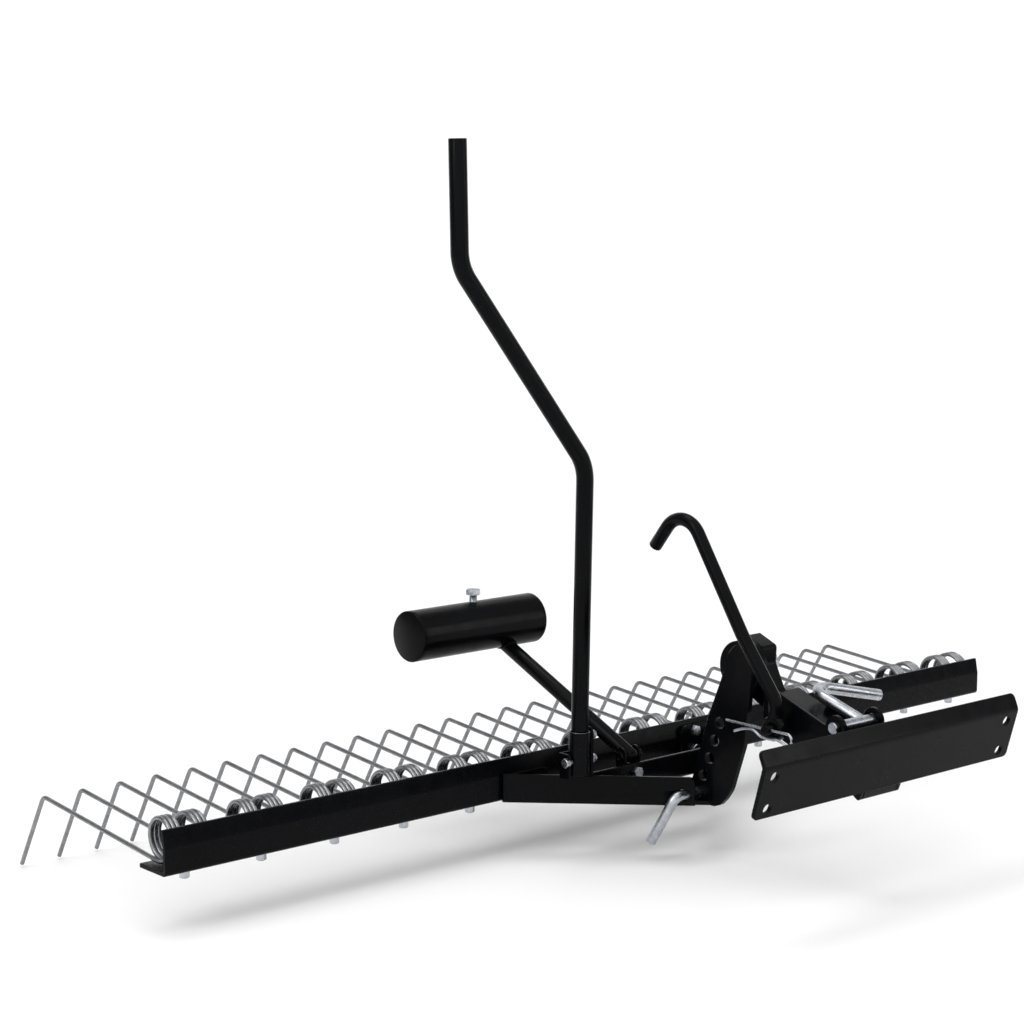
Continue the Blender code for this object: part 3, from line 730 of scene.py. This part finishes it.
for label, x, z in FOOT_BOLTS:
    start = 4.3 if z < 24.0 else 6.7
    rings = [(-9.0, 4.6, 24), (-8.3, 5.6, 6), (-4.7, 5.6, 6), (-4.7, M6_R, 24), (start, M6_R, 24)]
    rings += [(start, 5.6, 6), (start + 3.9, 5.6, 6), (start + 4.6, 4.7, 24), (start + 4.6, M6_R, 24)]
    rings += thread_rings(start + 4.7, start + 6.4, M6_R, 1.0)
    shape = stack((x, 0.0, z), (0, 1, 0), rings, False, 0.3)
    piece("frame_bolt_" + label, shape, ZINC, "rake", ["v_arm_bolt_" + label])

# ---------------------------------------------------------------- lift lever and socket


def lever_x(z):
    (x0, z0), (x1, z1) = LEVER_PATH[0], LEVER_PATH[1]
    return x0 + (x1 - x0) * (z - z0) / (z1 - z0)


lever_path = rounded([(x, LEVER_Y, z) for x, z in LEVER_PATH], LEVER_BENDS, 14)
lever = tube(lever_path, LEVER_R, 40, 0.7)
piece("lift_lever_bar", lever, BLACK, "rake", ["lift_lever"])
bottom = np.array((lever_x(31.0), LEVER_Y, 31.0))
lean_by = np.array((lever_x(71.0), LEVER_Y, 71.0)) - bottom
long = float(np.linalg.norm(lean_by))
wall = [(0.3, LEVER_R + 0.4, 40), (0.0, LEVER_R + 0.8, 40), (0.0, SOCKET_R - 0.4, 40), (0.4, SOCKET_R, 40)]
wall += [(long - distance, radius, sides) for distance, radius, sides in reversed(wall)]
socket = stack(bottom, lean_by, wall, True)
piece("lever_socket_tube", socket, BLACK, "rake", ["lever_socket"])
# A thin ring on the socket's top edge that carries the painted highlight of the rim; it stands for no CAD
# part.
rim = [(long + 0.02, 8.75, 48), (long + 0.02, 9.75, 48), (long + 0.3, 9.6, 48), (long + 0.3, 8.9, 48)]
piece("lever_socket_rim", stack(bottom, lean_by, rim, True), RIM_HIGHLIGHT, "rake", [])
bracket = soften(
    (
        (-143.2, -62.0), (-140.4, -62.0), (-140.4, -49.4), (-118.0, -49.4),
        (-118.0, -62.0), (-115.4, -62.0), (-115.4, -46.4), (-143.2, -46.4),
    ),
    (0.8, 0.8, 1.0, 1.0, 0.8, 0.8, 3.0, 3.0),
)
side = soften(((-65.0, 28.0), (-46.4, 28.0), (-46.4, 74.0), (-65.0, 74.0)), (2.0, 0.6, 5.0, 5.0), 6)
bracket_shape = merged(along_z(bracket, 27.4, 51.0, 0.5), along_x(side, -118.0, -115.4, (), 0.5))
piece("lever_socket_bracket", bracket_shape, BLACK, "rake", ["lever_bracket"])
rings = [(-147.8, 3.8, 24), (-147.2, 4.6, 6), (-143.6, 4.6, 6), (-143.6, LEVER_BOLT_R, 20)]
rings += [(-115.0, LEVER_BOLT_R, 20), (-115.0, 4.6, 6), (-111.4, 4.6, 6)]
rings += [(-110.8, 3.8, 24), (-110.8, LEVER_BOLT_R, 20), *thread_rings(-110.7, -108.6, LEVER_BOLT_R, 0.8)]
shape = stack((0.0, LEVER_Y, 43.7), (1, 0, 0), rings, False, 0.4)
piece("lever_through_bolt", shape, ZINC, "rake", ["lever_bolt_lower"])
rings = [(-130.0, 1.9, 20), *thread_rings(-129.6, -115.2, LEVER_BOLT_R, 0.8), (-115.0, LEVER_BOLT_R, 20)]
rings += [(-115.0, 4.6, 6), (-111.4, 4.6, 6), (-110.8, 3.8, 24)]
shape = stack((0.0, LEVER_Y, 66.0), (1, 0, 0), rings, False, 0.1)
piece("lever_set_screw", shape, ZINC, "rake", ["lever_bolt_upper"])

# ---------------------------------------------------------------- weight and its arm

base_outline = ((-66.2, 8.7), (-45.8, 8.7), (-45.8, 27.0), (-66.2, 27.0))
base = plate(base_outline, 3.0, (0.0, -52.6, 0.0), (1, 0, 0), (0, 0, 1), (), 0.3)
cheek = soften(
    ((-55.7, 8.6), (-45.0, 8.6), (-42.5, 14.0), (-42.5, 39.0), (-45.0, 42.6), (-50.0, 43.9), (-55.7, 41.5)),
    (0.5, 3.0, 3.0, 5.0, 5.0, 5.0, 4.0),
)
cheeks = [along_x(cheek, x0, x1, (), 0.4) for x0, x1 in ((-66.3, -63.7), (-48.3, -45.7))]
piece("weight_foot_bracket", merged(base, *cheeks), BLACK, "rake", ["weight_foot"])

ahead = np.array((0.0, math.cos(ARM_ANGLE), math.sin(ARM_ANGLE)))
rise = np.array((0.0, -math.sin(ARM_ANGLE), math.cos(ARM_ANGLE)))
side_on = np.array((1.0, 0.0, 0.0))
base_at = np.array((ARM_X, *ARM_FOOT))


def reach_of_weight(point, radius):
    """How far along the arm a point lies from a surface about the weight's axis."""
    dy, dz = point[1] - WEIGHT_C[0], point[2] - WEIGHT_C[1]
    p = dy * ahead[1] + dz * ahead[2]
    return -p - math.sqrt(max(0.0, p * p - (dy * dy + dz * dz - radius * radius)))


verts = []
loops = []
for level, radius in ((-6.4, 5.2), (-6.0, 5.8), (-4.6, 7.1), (-4.0, ARM_R), (None, ARM_R)):
    loop = []
    for k in range(40):
        angle = 2.0 * math.pi * k / 40
        point = base_at + side_on * radius * math.cos(angle) + rise * radius * math.sin(angle)
        point = point + ahead * (reach_of_weight(point, WEIGHT_R + ARM_GAP) if level is None else level)
        loop.append(len(verts))
        verts.append(point)
    loops.append(loop)
piece("weight_arm_bar", (verts, skin(loops)), BLACK, "rake", ["weight_arm"])

bead = []
for k in range(49):
    angle = 2.0 * math.pi * k / 48
    point = base_at + side_on * ARM_BEAD_R * math.cos(angle) + rise * ARM_BEAD_R * math.sin(angle)
    wobble = 0.25 * math.sin(9.0 * angle)
    bead.append(point + ahead * (reach_of_weight(point, WEIGHT_R + ARM_GAP) + wobble))
piece("weld_weight_arm", tube(bead, 1.3, 12, 0.3), BLACK, "rake", [])

rings = [(-69.5, 3.7, 24), (-69.0, 4.6, 6), (-66.6, 4.6, 6), (-66.6, M6_R, 24), (-45.4, M6_R, 24)]
rings += [(-45.4, 4.6, 6), (-42.9, 4.6, 6), (-42.5, 3.7, 24), (-42.5, M6_R, 24), (-41.3, 2.8, 24)]
shape = stack((0.0, *ARM_FOOT), (1, 0, 0), rings, False, 0.2)
piece("weight_arm_bolt_set", shape, BLACK, "rake", ["weight_arm_bolt"])
rings = [(-64.8, 4.8, 24), (-64.1, 5.77, 6), (-60.3, 5.77, 6), (-60.3, M6_R, 24), (-52.3, M6_R, 24)]
rings += [(-52.3, 5.77, 6), (-48.5, 5.77, 6), (-47.8, 4.8, 24), (-47.8, M6_R, 24)]
rings += thread_rings(-47.7, -45.6, M6_R, 1.0)
shape = stack((ARM_X, 0.0, 20.5), (0, 1, 0), rings, False, 0.25)
piece("weight_foot_bolt_set", shape, ZINC, "rake", ["weight_foot_bolt"])

# Each end is rounded, with a fine groove close to it.
end_profile = ((0.0, 1.4), (0.5, 0.4), (1.2, 0.0), (3.4, 0.0), (3.7, 0.2), (4.0, 0.0))
rings = [(WEIGHT_X[0] + inward, WEIGHT_R - cut, 96) for inward, cut in end_profile]
rings += [(WEIGHT_X[1] - inward, WEIGHT_R - cut, 96) for inward, cut in reversed(end_profile)]
shape = stack((0.0, *WEIGHT_C), (1, 0, 0), rings)
piece("ballast_cylinder", shape, BLACK, "rake", ["weight_cylinder"])
rings = [(149.0, 3.4, 24), *thread_rings(149.4, 169.2, 4.0, 1.25, 28), (169.3, 4.0, 28), (169.3, 7.5, 6)]
rings += [(174.0, 7.5, 6), (174.8, 6.2, 24)]
shape = stack((-93.8, WEIGHT_C[0], 0.0), (0, 0, 1), rings, False, 0.15)
piece("ballast_clamp_screw", shape, ZINC, "rake", ["weight_bolt"])

# ---------------------------------------------------------------- height pin

y, z = POST_HOLES[0]
pin_path = rounded(((-18.0, y, z), (-64.5, y, z), (-80.0, y + 16.5, z - 44.0)), (9.0,), 14)
pin = tube(pin_path, PIN_R, 32, 0.9)
piece("height_pin_rod", pin, ZINC, "height_pin_body", ["height_pin"])

# ---------------------------------------------------------------- hitch


def cheek_top(y):
    """The height of the side plates' upper edge at a y."""
    return 120.5 + SLOPE * (y + 206.0)


def plate_back(z):
    """The y at a height where a piece behind the mounting plate ends, just clear of it."""
    down = np.array((math.sin(PLATE_TILT), -math.cos(PLATE_TILT)))
    back = np.array((math.cos(PLATE_TILT), math.sin(PLATE_TILT)))
    start = np.array(BEND) + back * (SHEET + PLATE_GAP)
    return start[0] + down[0] * (z - start[1]) / down[1]


def mount_plate_shape():
    """A flat sheet with corner radii and four holes, bent smoothly along its upper fold."""
    outline = soften(
        (
            (-PLATE_HALF, -PLATE_FLANGE), (PLATE_HALF, -PLATE_FLANGE), (PLATE_HALF, PLATE_FACE),
            (-PLATE_HALF, PLATE_FACE),
        ),
        5.0,
        6,
    )
    holes = [circle(x, s, 4.5) for x in (-155.5, 155.5) for s in (10.0, 40.0)]
    verts, faces = plate(outline, SHEET, (0.0, 0.0, 0.0), (1, 0, 0), (0, 1, 0), holes, 0.6)
    mesh = bpy.data.meshes.new("flat")
    mesh.from_pydata([tuple(v) for v in verts], [], faces)
    work = bmesh.new()
    work.from_mesh(mesh)
    for k in range(7):
        s = BEND_HALF * (k - 3) / 3.0
        everything = list(work.verts) + list(work.edges) + list(work.faces)
        bmesh.ops.bisect_plane(work, geom=everything, plane_co=(0.0, s, 0.0), plane_no=(0.0, 1.0, 0.0))
    work.verts.ensure_lookup_table()
    flat = [tuple(v.co) for v in work.verts]
    faces = [tuple(v.index for v in f.verts) for f in work.faces]
    work.free()
    bpy.data.meshes.remove(mesh)
    down = np.array((math.sin(PLATE_TILT), -math.cos(PLATE_TILT)))
    up = np.array((math.sin(FLANGE_LEAN), math.cos(FLANGE_LEAN)))
    bend = np.array(BEND)
    heading0 = math.atan2(-up[1], -up[0])
    heading1 = math.atan2(down[1], down[0])
    spots = []
    steps = 60
    for k in range(steps + 1):
        t = k / steps
        angle = heading0 + (heading1 - heading0) * t
        spots.append(np.array((math.cos(angle), math.sin(angle))) * (2.0 * BEND_HALF / steps))
    total = sum(spots[:-1])
    start = bend + up * BEND_HALF
    shift = (bend + down * BEND_HALF - start) - total
    bent = []
    for x, s, n in flat:
        if s <= -BEND_HALF:
            at_point, heading = start + up * (-s - BEND_HALF), heading0
        elif s >= BEND_HALF:
            at_point, heading = bend + down * s, heading1
        else:
            t = (s + BEND_HALF) / (2.0 * BEND_HALF)
            upto = int(round(t * steps))
            at_point = start + sum(spots[:upto], np.zeros(2)) + shift * t
            heading = heading0 + (heading1 - heading0) * t
        normal = np.array((-math.sin(heading), math.cos(heading)))
        bent.append((x, *(at_point + normal * n)))
    return bent, faces


piece("hitch_plate", mount_plate_shape(), BLACK, "hitch", ["mount_plate"])


def cheek_outline(end):
    """A side plate with an ear for the release lever, up to the y of its free end."""
    outline = [
        (end, cheek_top(end) - 36.0), (end, cheek_top(end) - 4.0), (end - 4.0, cheek_top(end - 4.0)),
        (-268.5, 97.9), (-269.3, 101.5), (-272.2, 105.8), (-276.0, 108.2), (-280.0, 109.0), (-284.0, 108.2),
        (-287.8, 105.8), (-290.3, 102.0), (-291.2, 98.0), (-292.5, cheek_top(-292.5)),
    ]
    top = cheek_top(-320.0)
    outline += [(plate_back(top), top), (plate_back(48.6), 48.6), (-308.0, 37.0)]
    outline += [(-296.0, cheek_top(-296.0) - 43.0), (end - 4.0, cheek_top(end - 4.0) - 40.4)]
    return soften(outline, 2.0, 4)


ear_hole = circle(*RELEASE, 5.75)
near_cheek = along_x(cheek_outline(-200.0), -27.0, -23.0, [ear_hole], 0.5)
far_cheek = along_x(cheek_outline(-226.0), 23.0, 27.0, [ear_hole], 0.5)
piece("hitch_side_near", near_cheek, BLACK, "hitch", ["arm_cheek_near"])
piece("hitch_side_far", far_cheek, BLACK, "hitch", ["arm_cheek_far"])

for label, x in (("near", -27.9), ("far", 27.9)):
    bead = []
    for k in range(25):
        z = 50.5 + 27.0 * k / 24
        bead.append((x + 0.15 * math.sin(k * 2.1), plate_back(z) + 0.9, z))
    piece("weld_plate_" + label, tube(bead, 1.4, 12, 0.6), BLACK, "hitch", [])

tongue = (
    (-190.0, 108.5 + SLOPE * 16.0), (plate_back(67.5), 67.5), (plate_back(48.8), 48.8),
    (-308.3, 37.3), (-297.5, 43.2), (-293.5, 52.9), (-190.0, 84.5 + SLOPE * 16.0),
)
lug = (
    (-146.5, 118.0), (-146.5, 150.0), (-150.6, 158.4), (-160.6, 161.6), (-181.9, 153.1), (-181.0, 137.0),
    (-192.5, 114.0), (-212.0, 102.0), (-212.0, 90.0), (-192.0, 92.5), (-165.0, 106.0), (-152.0, 110.0),
)
tongue_shape = merged(
    along_x(soften(tongue, (3.0, 1.0, 1.0, 2.0, 2.0, 2.0, 3.0)), -22.6, 22.6, (), 0.8),
    along_x(
        soften(lug, (6.0, 5.0, 5.0, 3.0, 4.0, 8.0, 8.0, 1.0, 1.0, 4.0, 8.0, 6.0)),
        -14.4,
        4.5,
        [circle(*PIVOT, STUD_HOLE_R, 48)],
        0.8,
    ),
)
piece("hitch_arm_and_lug", tongue_shape, BLACK, "hitch", ["hitch_tongue"])

rings = [(-56.5, HOOK_PIN_R - 0.9, 32), (-56.2, HOOK_PIN_R - 0.3, 32)]
rings += [(-55.7, HOOK_PIN_R, 32), (-27.3, HOOK_PIN_R, 32)]
hinge_pin = stack((0.0, *HOOK), (1, 0, 0), rings)
piece("hook_hinge_pin", hinge_pin, BLACK, "hitch", ["hook_pin"])
eye = [(-4.6, 5.1, 48), (-5.0, 5.5, 48), (-5.0, 10.2, 48), (-4.5, 11.1, 48), (-3.4, 11.6, 48)]
eye += [(-distance, radius, sides) for distance, radius, sides in reversed(eye)]
hook_path = rounded(
    (
        (HOOK_X, HOOK[0], HOOK[1] + 8.2), (HOOK_X, -223.6, 114.0), (HOOK_X, -181.2, 168.6),
        (HOOK_X, -106.0, 283.0), (HOOK_X, -68.7, 236.0),
    ),
    (18.0, 60.0, 25.0),
    16,
)
hook_shape = merged(stack((HOOK_X, *HOOK), (1, 0, 0), eye, True), tube(hook_path, HOOK_R, 40, 1.0))
piece("transport_hook_rod", hook_shape, BLACK, "transport_hook_body", ["transport_hook"])

z = HOOK[1]
clip = [(-172.0, z), (-246.0, z)]
for k in range(1, 16):
    angle = math.radians(90.0 + 15.0 * k)
    clip.append((-246.0 + 5.5 * math.cos(angle), z - 5.5 + 5.5 * math.sin(angle)))
knots = [
    (-241.0, z - 9.2), (-233.0, z - 7.4), (-228.0, z - 8.0), (-222.0, z - 8.3), (-214.0, z - 7.6),
    (-208.0, z - 4.4), (-203.0, z - 3.1), (-197.0, z - 3.6), (-190.0, z - 5.4), (-182.0, z - 8.6),
]
for i in range(len(knots) - 1):
    p0 = np.array(knots[max(i - 1, 0)])
    p1, p2 = np.array(knots[i]), np.array(knots[i + 1])
    p3 = np.array(knots[min(i + 2, len(knots) - 1)])
    for k in range(5):
        t = k / 5.0
        bow = 2 * p1 + (p2 - p0) * t + (2 * p0 - 5 * p1 + 4 * p2 - p3) * t * t
        clip.append(tuple(0.5 * (bow + (3 * p1 - p0 - 3 * p2 + p3) * t ** 3)))
clip.append(knots[-1])
clip_shape = tube([(CLIP_X, y, h) for y, h in clip], CLIP_R, 16, 0.4)
piece("hook_r_clip", clip_shape, ZINC, "hitch", ["r_clip"])

rings = [(-31.0, 4.6, 36), (-30.3, 5.3, 36), (30.3, 5.3, 36), (31.0, 4.6, 36)]
handle_path = rounded(((10.0, -279.0, 98.6), (7.5, -210.0, 120.5), (88.0, -234.0, 103.0)), (20.0,), 18)
release = merged(stack((0.0, *RELEASE), (1, 0, 0), rings), tube(handle_path, RELEASE_R, 32, 0.9))
piece("release_lever_rod", release, ZINC, "release_lever_body", ["release_lever"])

# ---------------------------------------------------------------- floor, light and camera

FLOOR_Z = (GROUND_Z - ORIGIN[2]) * MM
FLOOR_HALF = 12.0
FLOOR_NEAR = -9.0
BACKDROP_AT = 5.0
BACKDROP_R = 2.5
BACKDROP_TOP = 8.0


def floor_material():
    material, kit, shader = new_material("pale_floor")
    position = kit.add("ShaderNodeTexCoord").outputs["Object"]
    cloud = noise_of(kit, position, 1.5, 3.0)
    pale = ramp_of(kit, cloud, ((0.3, (0.90, 0.90, 0.90)), (0.7, (0.93, 0.93, 0.93))))
    kit.link(pale, shader.inputs["Base Color"])
    shader.inputs["Roughness"].default_value = 0.9
    shader.inputs["Specular IOR Level"].default_value = 0.1
    return material


def floor():
    """A wide floor, in metres, that curves up into a backdrop behind the object."""
    profile = [(FLOOR_NEAR, 0.0)]
    for k in range(13):
        angle = math.radians(90.0 * k / 12)
        far_by = BACKDROP_AT + BACKDROP_R * math.sin(angle)
        profile.append((far_by, BACKDROP_R - BACKDROP_R * math.cos(angle)))
    profile.append((BACKDROP_AT + BACKDROP_R, BACKDROP_TOP))
    verts = []
    faces = []
    ahead_x, ahead_y = math.sin(CAMERA_HEADING), math.cos(CAMERA_HEADING)
    for far_by, high in profile:
        for side in (-FLOOR_HALF, FLOOR_HALF):
            x = ahead_x * far_by + ahead_y * side
            y = ahead_y * far_by - ahead_x * side
            verts.append((x, y, FLOOR_Z + high))
    for i in range(len(profile) - 1):
        faces.append((2 * i, 2 * i + 1, 2 * i + 3, 2 * i + 2))
    mesh = bpy.data.meshes.new("studio_floor")
    mesh.from_pydata(verts, [], faces)
    mesh.shade_smooth()
    mesh.materials.append(floor_material())
    obj = add_object("studio_floor", mesh)


floor()

world = bpy.data.worlds.new("studio")
bpy.context.scene.world = world
world.use_nodes = True
world.node_tree.nodes["Background"].inputs["Color"].default_value = (1.0, 1.0, 1.0, 1.0)
world.node_tree.nodes["Background"].inputs["Strength"].default_value = WORLD


def point_along(obj, direction):
    obj.rotation_mode = "QUATERNION"
    obj.rotation_quaternion = direction.to_track_quat("-Z", "Y")


def soft_light(name, at, aim, size, power):
    light = bpy.data.lights.new(name, "AREA")
    light.shape = "RECTANGLE"
    light.size, light.size_y = size
    light.energy = power
    obj = add_object(name, light)
    obj.location = at
    point_along(obj, Vector(aim) - Vector(at))


for settings in LIGHTS:
    soft_light(*settings)
sun_light = bpy.data.lights.new("soft_sky", "SUN")
sun_light.energy = SUN_POWER
sun_light.angle = SUN_SPREAD
sun = add_object("soft_sky", sun_light)
point_along(sun, -Vector(SUN_FROM))
bpy.context.scene.view_settings.view_transform = "Standard"

camera_data = bpy.data.cameras.new("camera")
camera_data.sensor_width = CAMERA_SENSOR
camera_data.lens = CAMERA_LENS
camera_data.clip_start, camera_data.clip_end = CAMERA_RANGE
camera = add_object("camera", camera_data)
camera.location = place(CAMERA_AT)
level = math.cos(CAMERA_DOWN)
look = Vector((math.sin(CAMERA_HEADING) * level, math.cos(CAMERA_HEADING) * level, -math.sin(CAMERA_DOWN)))
point_along(camera, look)
bpy.context.scene.camera = camera
